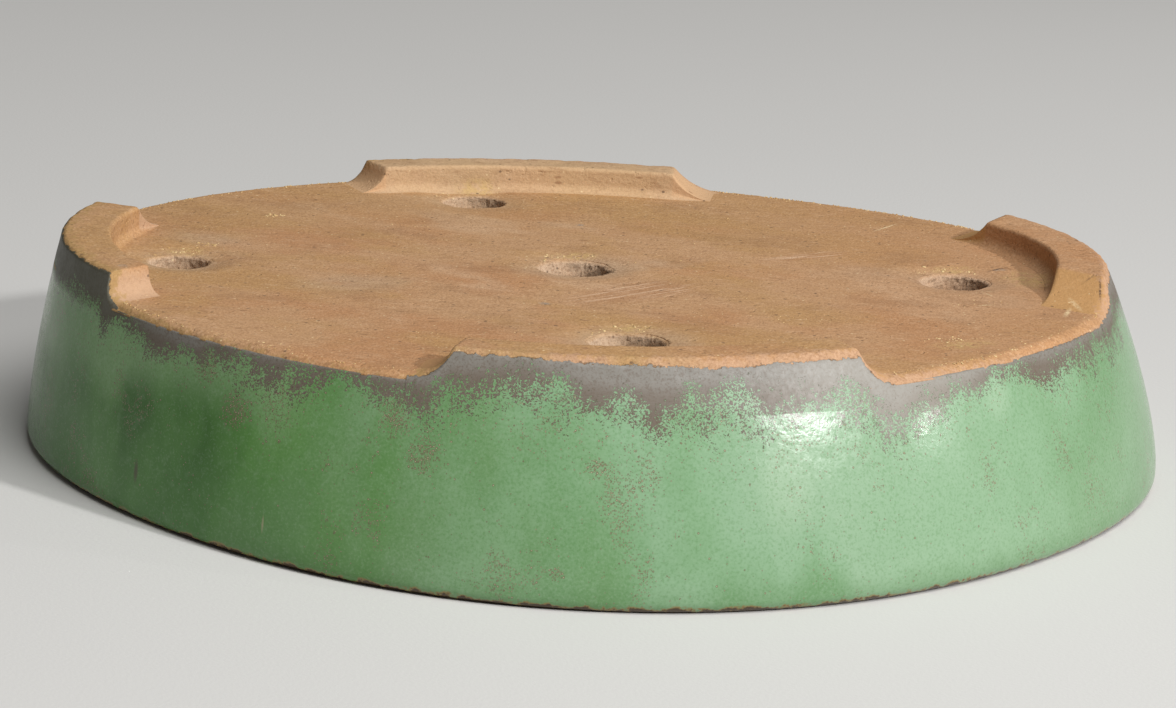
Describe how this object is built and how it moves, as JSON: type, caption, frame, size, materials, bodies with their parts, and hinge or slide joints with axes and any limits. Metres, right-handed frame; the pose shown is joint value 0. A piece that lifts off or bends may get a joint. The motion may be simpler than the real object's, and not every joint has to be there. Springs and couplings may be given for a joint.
{
  "type": "oval bonsai pot",
  "caption": "Shallow oval bonsai pot of glazed stoneware, stored rim down: tapered wall, floor slab with drain holes, and luted arc feet with scooped ends.",
  "frame": {"origin": "middle of the pot's box, in the plane of the rim, which the pot rests on here", "axes": "+X along the oval, +Y across it, +Z from the rim up to the feet. The pot is stored upside down, as it was pictured. In use it is turned over by 180 degrees about X and stands on its feet."},
  "size_m": [0.3, 0.2464, 0.0576],
  "materials": {
    "green_glaze": "satin",
    "bare_clay": "matte",
    "foot_clay": "matte"
  },
  "bodies": {
    "root": {"pot_wall": "green_glaze", "base_slab": "bare_clay", "foot_front": "foot_clay", "foot_back": "foot_clay", "foot_left": "foot_clay", "foot_right": "foot_clay"}
  },
  "joints": []
}
